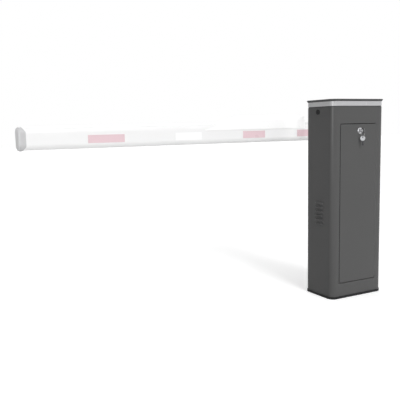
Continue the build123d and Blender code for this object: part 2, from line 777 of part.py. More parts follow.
# Stiffening cowl: rounded saddle over the tube, with a nose that rises in a long S-curve
with BuildPart() as boom_cowl:
    for step in range(nose_steps + 1):
        share = step / nose_steps
        height = nose_low + (cowl_h - nose_low) * share**2 * (3 - 2 * share)
        nose_plane = cowl_section.offset(share * nose_len)
        with BuildSketch(nose_plane):
            saddle = Rectangle(tube_t + 2 * cowl_side, height, align=(Align.CENTER, Align.MIN))
            fillet(saddle.vertices().group_by(Axis.Y)[-1], cowl_round * height / cowl_h)
    loft()
    extrude(boom_cowl.faces().sort_by(Axis.X)[-1], amount=cowl_reach - nose_len - cowl_root)
    with BuildSketch(nose_plane):
        hollow = Rectangle(
            tube_t + 2 * (cowl_side - cowl_wall), cowl_h - cowl_wall, align=(Align.CENTER, Align.MIN)
        )
        fillet(hollow.vertices().group_by(Axis.Y)[-1], cowl_round - cowl_wall)
    extrude(amount=cowl_reach - nose_len - cowl_root - cowl_wall, mode=Mode.SUBTRACT)
    with BuildSketch(boom_section.offset(-cowl_reach)):
        RectangleRounded(tube_t, tube_h, tube_edge)
    extrude(amount=cowl_reach, mode=Mode.SUBTRACT)
save(boom_cowl, "boom_cowl")
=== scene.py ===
import math
from itertools import product

import bmesh
import bpy
from mathutils import Matrix, Vector


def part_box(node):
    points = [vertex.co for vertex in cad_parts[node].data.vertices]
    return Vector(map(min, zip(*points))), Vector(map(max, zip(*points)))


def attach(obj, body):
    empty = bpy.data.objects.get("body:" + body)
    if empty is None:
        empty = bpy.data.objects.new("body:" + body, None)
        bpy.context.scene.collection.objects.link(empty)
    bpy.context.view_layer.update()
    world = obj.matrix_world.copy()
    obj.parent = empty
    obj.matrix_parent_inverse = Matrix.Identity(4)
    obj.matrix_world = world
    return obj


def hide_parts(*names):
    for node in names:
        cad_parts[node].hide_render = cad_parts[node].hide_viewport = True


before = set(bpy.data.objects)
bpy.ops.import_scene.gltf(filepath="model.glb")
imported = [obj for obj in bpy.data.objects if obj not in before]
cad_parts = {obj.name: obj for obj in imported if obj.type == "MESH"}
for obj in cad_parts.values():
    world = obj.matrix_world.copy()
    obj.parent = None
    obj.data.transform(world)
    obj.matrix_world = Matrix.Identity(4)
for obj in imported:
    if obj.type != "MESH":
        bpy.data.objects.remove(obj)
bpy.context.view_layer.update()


# Base plate. A flat steel plate, powder coated black, that stands on the foundation and is held
# down by its anchors.


def screen(red, green, blue):
    """A colour as a screen shows it, 0 to 255, in the linear values that a shader takes."""
    levels = [v / 255 for v in (red, green, blue)]
    return [v / 12.92 if v <= 0.04045 else ((v + 0.055) / 1.055) ** 2.4 for v in levels] + [1.0]


def add_node(tree, kind, inputs=None, **settings):
    """Add a shader node and return its outputs. An input takes a value or another output."""
    made = tree.nodes.new("ShaderNode" + kind)
    for name, value in settings.items():
        setattr(made, name, value)
    for name, value in (inputs or {}).items():
        if isinstance(value, bpy.types.NodeSocket):
            tree.links.new(value, made.inputs[name])
        else:
            made.inputs[name].default_value = value
    return made.outputs


def compute(tree, operation, *values):
    """The result of one Math node."""
    return add_node(tree, "Math", dict(enumerate(values)), operation=operation)[0]


def ramp(tree, value, low, high, start=0.0, end=1.0):
    """A value that goes from start to end while another goes from low to high."""
    limits = {"From Min": low, "From Max": high, "To Min": start, "To Max": end}
    return add_node(tree, "MapRange", {"Value": value, **limits})["Result"]


def mix(tree, share, colour, other):
    """A colour with a share of another one."""
    colours = {"Factor": share, "A": colour, "B": other}
    return add_node(tree, "Mix", colours, data_type="RGBA")["Result"]


def start_effect(name, inputs, outputs):
    """Start a shader node group with named inputs and outputs."""
    group = bpy.data.node_groups.new(name, "ShaderNodeTree")
    kinds = {float: "Float", tuple: "Vector", list: "Color"}
    for label, value in inputs.items():
        kind = "NodeSocket" + kinds[type(value)]
        group.interface.new_socket(label, in_out="INPUT", socket_type=kind).default_value = value
    for label, kind in outputs.items():
        group.interface.new_socket(label, in_out="OUTPUT", socket_type="NodeSocket" + kind)
    given = group.nodes.new("NodeGroupInput").outputs
    result = group.nodes.new("NodeGroupOutput").inputs
    return group, given, result


white = [1.0, 1.0, 1.0, 1.0]
middle = (0.0, 0.0, 0.0)

# Grain: the fine texture of a coat or a casting, with broad patches a little lighter or darker
fine_share = 0.4
mean_level = 0.7
grain, given, result = start_effect(
    "grain",
    {"Vector": middle, "Colour": white, "Fine": 900.0, "Broad": 6.0, "Spread": 0.05},
    {"Colour": "Color", "Height": "Float", "Patches": "Float"},
)
at = given["Vector"]
fine = add_node(grain, "TexNoise", {"Vector": at, "Scale": given["Fine"], "Detail": 2.0})["Fac"]
broad = add_node(grain, "TexNoise", {"Vector": at, "Scale": given["Broad"], "Detail": 4.0})["Fac"]
both = compute(grain, "MULTIPLY_ADD", fine, fine_share, broad)
level = compute(grain, "SUBTRACT", both, mean_level)
factor = compute(grain, "MULTIPLY_ADD", level, given["Spread"], 1.0)
toned = add_node(grain, "VectorMath", {0: given["Colour"], "Scale": factor}, operation="SCALE")
grain.links.new(toned["Vector"], result["Colour"])
grain.links.new(fine, result["Height"])
grain.links.new(broad, result["Patches"])

# Worn edges: sharp edges catch the light, and the coat is rubbed thin along them here and there
worn, given, result = start_effect(
    "worn_edges",
    {"Vector": middle, "Colour": white, "Rubbed": white, "Width": 0.001, "Amount": 0.5},
    {"Colour": "Color", "Normal": "Vector"},
)
rounded = add_node(worn, "Bevel", {"Radius": given["Width"]}, samples=4)["Normal"]
flat = add_node(worn, "NewGeometry")["Normal"]
facing = add_node(worn, "VectorMath", {0: rounded, 1: flat}, operation="DOT_PRODUCT")["Value"]
rubs = add_node(worn, "TexNoise", {"Vector": given["Vector"], "Scale": 60.0, "Detail": 4.0})["Fac"]
mask = compute(worn, "MULTIPLY", ramp(worn, facing, 0.995, 0.8), ramp(worn, rubs, 0.38, 0.68))
share = compute(worn, "MULTIPLY", mask, given["Amount"])
worn.links.new(mix(worn, share, given["Colour"], given["Rubbed"]), result["Colour"])
worn.links.new(rounded, result["Normal"])

# Dust: it settles on faces that look up, in soft patches
dust, given, result = start_effect(
    "dust",
    {"Vector": middle, "Colour": white, "Dust": screen(150, 147, 140), "Amount": 0.2},
    {"Colour": "Color"},
)
upward = add_node(dust, "SeparateXYZ", {0: add_node(dust, "NewGeometry")["Normal"]})["Z"]
cloud = add_node(dust, "TexNoise", {"Vector": given["Vector"], "Scale": 14.0, "Detail": 6.0})["Fac"]
covered = compute(dust, "MULTIPLY", ramp(dust, upward, 0.3, 1.0), ramp(dust, cloud, 0.3, 0.75))
share = compute(dust, "MULTIPLY", covered, given["Amount"])
dust.links.new(mix(dust, share, given["Colour"], given["Dust"]), result["Colour"])

shine_swing = 0.12
grain_depth = 0.0004


def finish(name, colour, roughness, fine=900.0, broad=6.0, spread=0.1, bump=0.1,
           stretch=(1.0, 1.0, 1.0), rubbed=None, rub=0.5, edge=0.0008, dusty=0.0, **shader):
    """A material of one finish: grain, rounded and rubbed edges, and dust where it lies open."""
    material = bpy.data.materials.new(name)
    material.use_nodes = True
    tree = material.node_tree
    principled = tree.nodes["Principled BSDF"]
    place = add_node(tree, "TexCoord")["Object"]
    at = add_node(tree, "Mapping", {"Vector": place, "Scale": stretch})["Vector"]
    texture = add_node(
        tree, "Group",
        {"Vector": at, "Colour": screen(*colour), "Fine": fine, "Broad": broad, "Spread": spread},
        node_tree=grain,
    )
    edges = add_node(
        tree, "Group",
        {"Vector": at, "Colour": texture["Colour"], "Rubbed": screen(*(rubbed or colour)),
         "Width": edge, "Amount": rub if rubbed else 0.0},
        node_tree=worn,
    )
    last = edges["Colour"]
    if dusty:
        laid = {"Vector": at, "Colour": last, "Amount": dusty}
        last = add_node(tree, "Group", laid, node_tree=dust)["Colour"]
    smoother, rougher = roughness * (1 - shine_swing), roughness * (1 + shine_swing)
    shine = ramp(tree, texture["Patches"], 0.3, 0.7, smoother, rougher)
    relief = add_node(
        tree, "Bump",
        {"Height": texture["Height"], "Strength": bump, "Distance": grain_depth,
         "Normal": edges["Normal"]},
    )
    tree.links.new(last, principled.inputs["Base Color"])
    tree.links.new(shine, principled.inputs["Roughness"])
    tree.links.new(relief["Normal"], principled.inputs["Normal"])
    for socket, value in shader.items():
        principled.inputs[socket.replace("_", " ")].default_value = value
    return material


def dress(material, *names):
    """Give CAD nodes their material."""
    for name in names:
        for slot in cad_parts[name].material_slots:
            slot.material = material


black_coat = finish(
    "black_coat", (27, 27, 29), 0.5, fine=800.0, broad=9.0, spread=0.16, bump=0.12,
    rubbed=(70, 70, 72), rub=0.4, dusty=0.08, Specular_IOR_Level=0.2
)
dress(black_coat, "base_plate")


# Foot screws. Four zinc-plated hexagon screws, each with a washer, that hold the housing's foot
# flange down on the base plate.
touch = 1e-6  # points nearer than this are one


def add_object(name, data):
    """Put something in the scene as an object at the origin."""
    made = bpy.data.objects.new(name, data)
    bpy.context.scene.collection.objects.link(made)
    return made


def make_mesh(name, bm, material):
    """Turn a finished bmesh into a mesh of one material."""
    mesh = bpy.data.meshes.new(name)
    bm.to_mesh(mesh)
    bm.free()
    mesh.materials.append(material)
    return mesh


def make_piece(name, bm, material, body, slot, *stands_for):
    """Turn a bmesh into a piece that rides on a body, with its sharper edges left sharp."""
    bmesh.ops.remove_doubles(bm, verts=bm.verts, dist=touch)
    bmesh.ops.recalc_face_normals(bm, faces=bm.faces)
    mesh = make_mesh(name, bm, material)
    mesh.shade_smooth()
    mesh.set_sharp_from_angle(angle=math.radians(35))
    piece = add_object(name, mesh)
    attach(piece, body)
    if stands_for:
        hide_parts(*stands_for)
    return piece


def standing(point, axis):
    """The place of something that stands on a point and points along an axis."""
    turn = Vector(axis).to_track_quat("Z", "Y").to_matrix().to_4x4()
    return Matrix.Translation(point) @ turn


def bevel_edges(bm, edges, offset, segments=1):
    """Chamfer edges, or round them with more segments."""
    bmesh.ops.bevel(
        bm, geom=edges, offset=offset, segments=segments, profile=0.5, affect="EDGES", material=-1
    )


def add_round(bm, place, radius, low, high, chamfer=0.0, segments=32):
    """A disc or rod from low to high, with its upper edge chamfered."""
    made = bmesh.ops.create_cone(
        bm, cap_ends=True, segments=segments, radius1=radius, radius2=radius, depth=high - low,
        matrix=place @ Matrix.Translation((0, 0, (low + high) / 2))
    )["verts"]
    if chamfer:
        upright = place.inverted()
        rim = [v for v in made if abs((upright @ v.co).z - high) < touch]
        bevel_edges(bm, [e for e in bm.edges if all(v in rim for v in e.verts)], chamfer)


def add_hex_bolt(bm, place, flats, head, washer):
    """A washer under a hexagon head, with the usual thickness and chamfers for its size."""
    washer_t = 0.096 * flats
    washer_chamfer = 0.3 * washer_t
    head_chamfer = 0.09 * flats
    add_round(bm, place, washer / 2, 0.0, washer_t, chamfer=washer_chamfer)
    add_round(bm, place, flats / math.sqrt(3), washer_t, head, chamfer=head_chamfer, segments=6)


zinc = finish(
    "zinc_plate", (172, 174, 176), 0.38, fine=420.0, broad=45.0, spread=0.24, bump=0.08,
    Metallic=1.0
)
foot_x = 0.110
foot_y = 0.095
foot_flats = 0.010
foot_head = 0.004
foot_washer = 0.012
foot_shank_r = 0.003
foot_end_z = 0.0005  # the shank's lower end
foot_seat_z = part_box("foot_bolts")[1].z - foot_head
bm = bmesh.new()
for x, y in product((-foot_x, foot_x), (-foot_y, foot_y)):
    add_hex_bolt(bm, standing((x, y, foot_seat_z), (0, 0, 1)), foot_flats, foot_head, foot_washer)
    add_round(bm, standing((x, y, foot_end_z), (0, 0, 1)), foot_shank_r, 0.0, foot_seat_z)
make_piece("foot_screws", bm, zinc, "cabinet", "zinc_steel", "foot_bolts")


# Housing. Two-millimetre sheet steel folded round, welded at the back and powder coated dark grey
# with a fine texture. The louvres are stamped into the left side.
housing_coat = finish(
    "housing_coat", (84, 84, 84), 0.36, fine=1100.0, broad=3.0, spread=0.06, bump=0.1,
    rubbed=(122, 122, 122), rub=0.35, edge=0.0012, Specular_IOR_Level=0.16
)
dress(housing_coat, "housing")


# Door. A folded sheet steel panel in the housing's coat, stiffened inside by a welded hat section.
# It tilts out on two zinc-plated hooks at its foot.
dress(housing_coat, "door_panel", "door_stiffener")
dress(zinc, "door_hooks")


# Door seal. Black rubber strip in the gap round the door, glued to the frame of the opening at the
# left and over the top, just behind the door's face. Its black is partly painted shade that darkens
# the gap's line there. The gap at the right is closed by a flush strip in the housing's grey.
seal_gap = 0.0005
seal_w = 0.0025
seal_deep = 0.008
seal_corner = 0.008
seal_foot = 0.008
seal_behind = 0.0006  # behind the door's face
strip_behind = 0.0004
door_low, door_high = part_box("door_panel")
seal_side = door_high.x + seal_gap + seal_w / 2
seal_top = door_high.z + seal_gap + seal_w / 2
seal_low = door_low.z + seal_foot


def pull(bm, faces, along):
    """Extrude faces along a vector, and return the faces at the new end."""
    made = bmesh.ops.extrude_face_region(bm, geom=faces)["geom"]
    bmesh.ops.translate(bm, vec=along, verts=[g for g in made if isinstance(g, bmesh.types.BMVert)])
    return [g for g in made if isinstance(g, bmesh.types.BMFace)]


def start_strip(bm, x, front):
    """The cross-section of a strip at the door's foot, as a face that looks along Z."""
    section = bmesh.ops.create_grid(bm, x_segments=1, y_segments=1, size=0.5)["verts"]
    bmesh.ops.scale(bm, vec=(seal_w, seal_deep, 1), verts=section)
    bmesh.ops.translate(bm, vec=(x, front + seal_deep / 2, seal_low), verts=section)
    return section[0].link_faces[:]


def run_strip(bm, end, along):
    """Carry a strip's end straight on."""
    new_end = pull(bm, end, along)
    bmesh.ops.delete(bm, geom=end, context="FACES_ONLY")
    return new_end


def bend_strip(bm, end, centre, angle):
    """Carry a strip's end round a corner of the door."""
    made = bmesh.ops.spin(
        bm, geom=end, cent=centre, axis=(0, 1, 0), angle=angle, steps=8, use_duplicate=False
    )["geom_last"]
    bmesh.ops.delete(bm, geom=end, context="FACES_ONLY")
    return [g for g in made if isinstance(g, bmesh.types.BMFace)]


# The seal's black is partly painted shade, darkening the gap's line at the left and over the top.
seal_rubber_gap_shade = finish(
    "seal_rubber_gap_shade", (24, 24, 25), 0.8, fine=600.0, broad=20.0, spread=0.2, bump=0.2,
    Specular_IOR_Level=0.1
)
bend_x = seal_side - seal_corner
bend_z = seal_top - seal_corner
bm = bmesh.new()
end = start_strip(bm, -seal_side, door_low.y + seal_behind)
end = run_strip(bm, end, (0, 0, bend_z - seal_low))
end = bend_strip(bm, end, (-bend_x, 0, bend_z), math.pi / 2)
run_strip(bm, end, (2 * bend_x, 0, 0))
bmesh.ops.holes_fill(bm, edges=bm.edges, sides=4)
make_piece("door_seal_gap_shade", bm, seal_rubber_gap_shade, "cabinet", "black_plastic")

grey_rubber = finish(
    "grey_rubber", (88, 88, 88), 0.6, fine=600.0, broad=20.0, spread=0.08, bump=0.15
)
bm = bmesh.new()
end = start_strip(bm, seal_side, door_low.y + strip_behind)
end = run_strip(bm, end, (0, 0, bend_z - seal_low))
bend_strip(bm, end, (bend_x, 0, bend_z), -math.pi / 2)
bmesh.ops.holes_fill(bm, edges=bm.edges, sides=4)
make_piece("door_strip", bm, grey_rubber, "cabinet", "black_plastic")


# Light band. A ring of frosted plastic in two halves between housing and lid. A faint glow stands
# for the light that it scatters.
frosted_band = finish(
    "frosted_band", (164, 164, 166), 0.4, fine=500.0, broad=10.0, spread=0.05, bump=0.06,
    edge=0.0006, Coat_Weight=0.15, Coat_Roughness=0.3, Emission_Color=(1, 1, 1, 1),
    Emission_Strength=0.09
)
dress(frosted_band, "light_band")
band_low, band_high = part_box("light_band")


# Band gasket. A strip of grey foam, laid all round in the groove between housing and light band
# to keep water out. Its dark grey is painted shade, standing for the shadow in the groove.
groove_shade_foam = finish("grey_foam_groove_shade", (74, 74, 75), 0.8, fine=700.0, broad=30.0, spread=0.2, bump=0.25)
cabinet_corner = 0.030
gasket_in = 0.0028
gasket_t = 0.0014
gasket_h = 0.004
bm = bmesh.new()
for inset in (gasket_in, gasket_in + gasket_t):
    sheet = bmesh.ops.create_grid(bm, x_segments=1, y_segments=1, size=1.0)["verts"]
    bmesh.ops.scale(bm, vec=(band_high.x - inset, band_high.y - inset, 1), verts=sheet)
    bmesh.ops.translate(bm, vec=(0, 0, band_low.z), verts=sheet)
    bmesh.ops.bevel(
        bm, geom=sheet, offset=cabinet_corner - inset, segments=8, profile=0.5,
        affect="VERTICES", material=-1
    )
bmesh.ops.delete(bm, geom=bm.faces[:], context="FACES_ONLY")
pull(bm, bmesh.ops.bridge_loops(bm, edges=bm.edges[:])["faces"], (0, 0, gasket_h))
make_piece("band_gasket_groove_shade", bm, groove_shade_foam, "cabinet", "black_plastic")


# Band joint covers. Two narrow clips of paler plastic, pressed over the joints between the light
# band's halves at the front and the back.
clip_plastic = finish("band_joint", (214, 215, 216), 0.35, fine=500.0, spread=0.05, bump=0.03)
joint_x = 0.045
joint_w = 0.0016
joint_t = 0.0005
joint_h = 0.019
joint_chamfer = 0.0002
bm = bmesh.new()
for y in (band_low.y, band_high.y):
    cover = bmesh.ops.create_cube(bm, size=1.0)["verts"]
    bmesh.ops.scale(bm, vec=(joint_w, joint_t, joint_h), verts=cover)
    bmesh.ops.translate(bm, vec=(joint_x, y, band_high.z - joint_h / 2), verts=cover)
bevel_edges(bm, bm.edges[:], joint_chamfer)
make_piece("band_joints", bm, clip_plastic, "cabinet", "band_plastic")


# Lid. Pressed sheet steel with a turned-down rim, in a coat like the housing's but duller. It lies
# on the light band, and dust lies on it.
lid_coat = finish(
    "lid_coat", (80, 80, 81), 0.55, fine=1100.0, broad=4.0, spread=0.08, bump=0.1,
    rubbed=(118, 118, 118), rub=0.4, edge=0.0012, dusty=0.12, Specular_IOR_Level=0.15
)
dress(lid_coat, "lid")


# Release lock and cable glands. Moulded black plastic. The lock, high on the left side, frees the
# boom to be moved by hand, and the glands seal the cables into the control box.
black_moulding = finish(
    "black_moulding", (27, 27, 28), 0.45, fine=700.0, broad=12.0, spread=0.15, bump=0.08,
    edge=0.0006, Specular_IOR_Level=0.15
)
dress(black_moulding, "release_lock", "cable_glands")


# Shaft bearing. A flange of sand-cast aluminium that carries the shaft through the back wall, held
# by four zinc-plated hexagon screws on a circle.
cast = finish(
    "cast_aluminium", (160, 162, 164), 0.52, fine=380.0, broad=14.0, spread=0.26, bump=0.45,
    rubbed=(205, 206, 208), rub=0.6, edge=0.0012, Metallic=0.85
)
dress(cast, "shaft_bearing")
screw_flats = 0.013
screw_washer = 0.0155
screw_shank_r = 0.004
bearing_head = 0.005
bearing_circle = 0.039
bearing_low, bearing_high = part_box("shaft_bearing")
shaft_z = (bearing_low.z + bearing_high.z) / 2
bm = bmesh.new()
for degrees in (45, 135, 225, 315):
    x = bearing_circle * math.cos(math.radians(degrees))
    z = shaft_z + bearing_circle * math.sin(math.radians(degrees))
    seat = standing((x, bearing_high.y, z), (0, 1, 0))
    add_hex_bolt(bm, seat, screw_flats, bearing_head, screw_washer)
    add_round(bm, seat, screw_shank_r, bearing_low.y - bearing_high.y, 0.0)
make_piece("bearing_screws", bm, zinc, "cabinet", "zinc_steel", "bearing_bolts")


# Drive. A gear unit of cast aluminium hangs on a zinc-plated bracket inside the back wall, its
# cover held by four socket screws, with a painted motor below it.
motor_paint = finish(
    "motor_paint", (72, 76, 82), 0.36, fine=260.0, broad=8.0, spread=0.12, bump=0.1,
    rubbed=(120, 124, 130), rub=0.5, dusty=0.2
)
dress(cast, "gear_unit")
dress(zinc, "drive_bracket")
dress(motor_paint, "motor")


def add_socket_screw(bm, place, radius, head):
    """A round head with a bevelled rim and a recess sunk in its top."""
    rim_w, rim_h = 0.12 * radius, 0.08 * radius
    land_w = 0.38 * radius
    recess = 0.6 * head
    foot = bmesh.ops.create_circle(
        bm, cap_ends=True, segments=24, radius=radius, matrix=place
    )["verts"]
    out = (place.to_3x3() @ Vector((0, 0, 1))).normalized()
    cap = pull(bm, foot[0].link_faces[:], out * head)
    bmesh.ops.inset_region(bm, faces=cap, thickness=rim_w, depth=rim_h)
    bmesh.ops.inset_region(bm, faces=cap, thickness=land_w, depth=0.0)
    pull(bm, cap, out * -recess)
    bmesh.ops.delete(bm, geom=cap, context="FACES")


gear_screw_x = 0.052
gear_screw_z = 0.062
gear_screw_r = 0.0065
gear_screw_head = 0.006
gear_boss = 0.006  # the boss stands before the face with the screws
gear_face_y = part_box("gear_unit")[0].y + gear_boss
bm = bmesh.new()
for x, z in product((-gear_screw_x, gear_screw_x), (-gear_screw_z, gear_screw_z)):
    seat = standing((x, gear_face_y, shaft_z + z), (0, -1, 0))
    add_socket_screw(bm, seat, gear_screw_r, gear_screw_head)
make_piece("gear_screws", bm, zinc, "cabinet", "zinc_steel")


# Control box. Two grey mouldings, box and cover, on the back wall, held together by four screws
# in the cover's corners.
box_moulding = finish(
    "box_moulding", (178, 180, 180), 0.48, fine=650.0, broad=7.0, spread=0.06, bump=0.1,
    edge=0.001, dusty=0.2
)
dress(box_moulding, "control_box", "control_cover")
cover_inset = 0.014
cover_screw_r = 0.0048
cover_screw_head = 0.0022
cover_low, cover_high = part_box("control_cover")
bm = bmesh.new()
for x, z in product(
    (cover_low.x + cover_inset, cover_high.x - cover_inset),
    (cover_low.z + cover_inset, cover_high.z - cover_inset),
):
    seat = standing((x, cover_low.y, z), (0, -1, 0))
    add_socket_screw(bm, seat, cover_screw_r, cover_screw_head)
make_piece("cover_screws", bm, zinc, "cabinet", "zinc_steel")


# Door lock. Die-cast and polished, with a hexagon nut behind the panel. The plug turns in it and
# carries the zinc-plated cam.
lock_metal = finish(
    "polished_lock", (178, 178, 180), 0.26, fine=900.0, broad=60.0, spread=0.1, bump=0.03,
    edge=0.0004, Metallic=1.0
)
dress(lock_metal, "lock_body", "lock_plug")
dress(zinc, "lock_cam")
plug_low, plug_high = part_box("lock_plug")
lock_x = (plug_low.x + plug_high.x) / 2
lock_z = (plug_low.z + plug_high.z) / 2


# Key in the lock. Blanked from two-millimetre brass sheet and nickel plated: a round bow with a
# large hole, a collar and a blade with cuts.
nickel = finish(
    "nickel_plate", (138, 139, 141), 0.3, fine=700.0, broad=50.0, spread=0.2, bump=0.05,
    rubbed=(222, 216, 200), rub=0.5, edge=0.0005, Metallic=1.0
)
key_t = 0.002
blade_w = 0.0078
bow_y = -0.126


def turn_all(bm, degrees, axis):
    """Turn a whole bmesh about an axis through the origin."""
    turn = Matrix.Rotation(math.radians(degrees), 3, axis)
    bmesh.ops.rotate(bm, cent=(0, 0, 0), matrix=turn, verts=bm.verts)


def add_key(bm, bow, hole, hole_up, blade, cuts):
    """A flat key in the XY plane: bow round the origin, blade along -Y, cuts on its right edge."""
    blade_root = 0.93 * bow
    tip_slope, tip_back = 0.3 * blade_w, 0.2 * blade_w
    for radius, up in ((bow, 0.0), (hole, hole_up)):
        bmesh.ops.create_circle(
            bm, segments=32, radius=radius, matrix=Matrix.Translation((0, up, 0))
        )
    bmesh.ops.bridge_loops(bm, edges=bm.edges[:])
    rows = 2 * len(cuts) + 1
    strip = bmesh.ops.create_grid(bm, x_segments=1, y_segments=rows, size=0.5)["verts"]
    bmesh.ops.scale(bm, vec=(blade_w, blade, 1), verts=strip)
    bmesh.ops.translate(bm, vec=(0, -blade_root - blade / 2, 0), verts=strip)
    cut_edge = sorted((v for v in strip if v.co.x > 0), key=lambda v: v.co.y)
    for number, depth in enumerate(cuts):
        cut_edge[2 * number + 1].co.x -= depth
    cut_edge[0].co.x -= tip_slope
    min((v for v in strip if v.co.x < 0), key=lambda v: v.co.y).co.x += tip_back
    pull(bm, bm.faces[:], (0, 0, key_t))
    bmesh.ops.translate(bm, vec=(0, 0, -key_t / 2), verts=bm.verts)


collar_w = 0.0105
collar_h = 0.0032
collar_t = key_t * 1.02
collar_down = 0.0139
collar_round = 0.0005
bm = bmesh.new()
add_key(bm, bow=0.013, hole=0.009, hole_up=0.0, blade=0.0165, cuts=(0.0010, 0.0022, 0.0014))
collar = bmesh.ops.create_cube(bm, size=1.0)["verts"]
bmesh.ops.scale(bm, vec=(collar_w, collar_h, collar_t), verts=collar)
bmesh.ops.translate(bm, vec=(0, -collar_down, 0), verts=collar)
bevel_edges(bm, [e for e in bm.edges if e.verts[0] in collar], collar_round, segments=2)
turn_all(bm, 180, "Z")
turn_all(bm, 90, "Y")
bmesh.ops.translate(bm, vec=(lock_x, bow_y, lock_z), verts=bm.verts)
make_piece("door_key", bm, nickel, "key", "key_steel", "key")


# Spare key. Of the same sheet, with a small hole for the ring. It hangs below the lock at a slant
# to the door. Its blade is dull and dark; the dark is a painted reflection of the dark door.
dark_blade_painted_reflection = finish(
    "dark_blade_painted_reflection", (52, 52, 54), 0.5, fine=700.0, broad=80.0, spread=0.3, bump=0.08,
    edge=0.0005, Metallic=1.0
)
spare_bow = 0.012
spare_shoulder = 0.0235  # from the bow's top down to the blade, dark with a painted reflection
spare_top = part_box("spare_key")[1].z
bm = bmesh.new()
add_key(
    bm, bow=spare_bow, hole=0.0035, hole_up=0.006, blade=0.024,
    cuts=(0.0012, 0.0024, 0.0010, 0.0026, 0.0018)
)
turn_all(bm, 90, "X")
turn_all(bm, 135, "Z")
bmesh.ops.translate(bm, vec=(lock_x, bow_y, spare_top - spare_bow), verts=bm.verts)
hanging_key = make_piece("hanging_key", bm, nickel, "ring", "key_steel", "spare_key")
# Below the shoulder the blade takes the dark finish, a painted reflection.
hanging_key.data.materials.append(dark_blade_painted_reflection)
for face in hanging_key.data.polygons:
    face.material_index = int(face.center.z < spare_top - spare_shoulder)


# Key ring. Spring steel wire, nickel plated, wound in two turns that lie against each other. It
# goes through the bow of the key in the lock and the hole of the spare key.
ring_wire_r = 0.00044
ring_edge = 0.0009  # from the node's outside to the wire's middle
ring_turns = 2
ring_steps = 96
ring_low, ring_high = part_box("key_ring")
ring_r = (ring_high.z - ring_low.z) / 2 - ring_edge
ring_z = (ring_high.z + ring_low.z) / 2
bm = bmesh.new()
bmesh.ops.create_circle(
    bm, cap_ends=True, segments=8, radius=ring_wire_r, matrix=Matrix.Translation((ring_r, 0, 0))
)
turn_all(bm, 75, "Y")
bmesh.ops.translate(bm, vec=(lock_x, bow_y - ring_turns * ring_wire_r, ring_z), verts=bm.verts)
bmesh.ops.spin(
    bm, geom=bm.faces[:], cent=(lock_x, bow_y, ring_z), axis=(0, 1, 0),
    dvec=(0, 2 * ring_turns * ring_wire_r / ring_steps, 0), angle=2 * math.pi * ring_turns,
    steps=ring_steps, use_duplicate=False
)
make_piece("split_ring", bm, nickel, "ring", "key_steel", "key_ring")


# Shaft and carrier. The ground steel shaft ends in a zinc-plated hub flange. A cast carrier plate
# screwed to the hub holds the boom with two clamp straps, each on two hexagon screws.
ground_steel = finish(
    "ground_steel", (188, 189, 191), 0.26, fine=260.0, broad=30.0, spread=0.16, bump=0.06,
    stretch=(1, 12, 1), Metallic=1.0
)
dress(ground_steel, "output_shaft")
dress(cast, "arm_carrier")
dress(zinc, "hub_flange", "hub_screws", "clamp_straps")
strap_x = 0.045
strap_z = 0.0615
strap_head = 0.0055
strap_face_y = 0.154
strap_screw = 0.0135  # its length below the head
bm = bmesh.new()
for x, z in product((-strap_x, strap_x), (-strap_z, strap_z)):
    seat = standing((x, strap_face_y, shaft_z + z), (0, 1, 0))
    add_hex_bolt(bm, seat, screw_flats, strap_head, screw_washer)
    add_round(bm, seat, screw_shank_r, -strap_screw, 0.0)
make_piece("strap_screws", bm, zinc, "boom", "zinc_steel", "strap_bolts")


# Boom. An extruded aluminium profile with rounded edges, powder coated white, closed by moulded
# caps at both ends. A small screw in its back face holds the outer cap.
boom_coat = finish(
    "boom_coat", (238, 238, 238), 0.4, fine=900.0, broad=4.0, spread=0.02, bump=0.05, edge=0.0008
)
cap_moulding = finish(
    "cap_moulding", (192, 192, 193), 0.5, fine=650.0, broad=10.0, spread=0.06, bump=0.1, edge=0.001
)
dress(boom_coat, "boom_tube")
dress(cap_moulding, "end_cap", "root_cap")
cap_screw_in = 0.009
cap_screw_sunk = 0.0006
cap_screw_r = 0.0036
cap_screw_head = 0.0012
cap_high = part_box("end_cap")[1]
seat = standing((cap_high.x - cap_screw_in, cap_high.y - cap_screw_sunk, shaft_z), (0, 1, 0))
bm = bmesh.new()
add_socket_screw(bm, seat, cap_screw_r, cap_screw_head)
make_piece("cap_screw", bm, zinc, "boom", "zinc_steel")


# Reflective strips. Self-adhesive foil with a fine lattice of prism cells under a clear smooth
# film, in pale red and white, on both faces of the boom.
cells, given, result = start_effect(
    "prism_cells",
    {"Vector": middle, "Colour": white, "Line": white, "Size": 0.006},
    {"Colour": "Color"},
)
count = compute(cells, "DIVIDE", 1.0, given["Size"])
counted = add_node(cells, "VectorMath", {0: given["Vector"], "Scale": count}, operation="SCALE")
apart = add_node(cells, "SeparateXYZ", {0: counted["Vector"]})
lines = []
for slant in ("ADD", "SUBTRACT"):
    wave = compute(cells, "PINGPONG", compute(cells, slant, apart["X"], apart["Z"]), 1.0)
    lines.append(ramp(cells, wave, 0.1, 0.0))
line = compute(cells, "MAXIMUM", *lines)
cells.links.new(mix(cells, line, given["Colour"], given["Line"]), result["Colour"])


def foil(name, colour, line_colour):
    """A finish with the lattice of prism cells drawn over its colour."""
    material = finish(
        name, colour, 0.3, fine=500.0, broad=12.0, spread=0.03, bump=0.0, edge=0.0002,
        Coat_Weight=0.6, Coat_Roughness=0.08
    )
    tree = material.node_tree
    base = tree.nodes["Principled BSDF"].inputs["Base Color"]
    drawn = {
        "Vector": tree.nodes["Mapping"].outputs["Vector"],
        "Colour": base.links[0].from_socket,
        "Line": screen(*line_colour),
    }
    tree.links.new(add_node(tree, "Group", drawn, node_tree=cells)["Colour"], base)
    return material


dress(foil("pale_red_foil", (226, 199, 205), (213, 180, 187)), "reflectors_red")
dress(foil("white_foil", (252, 252, 252), (240, 241, 243)), "reflectors_white")


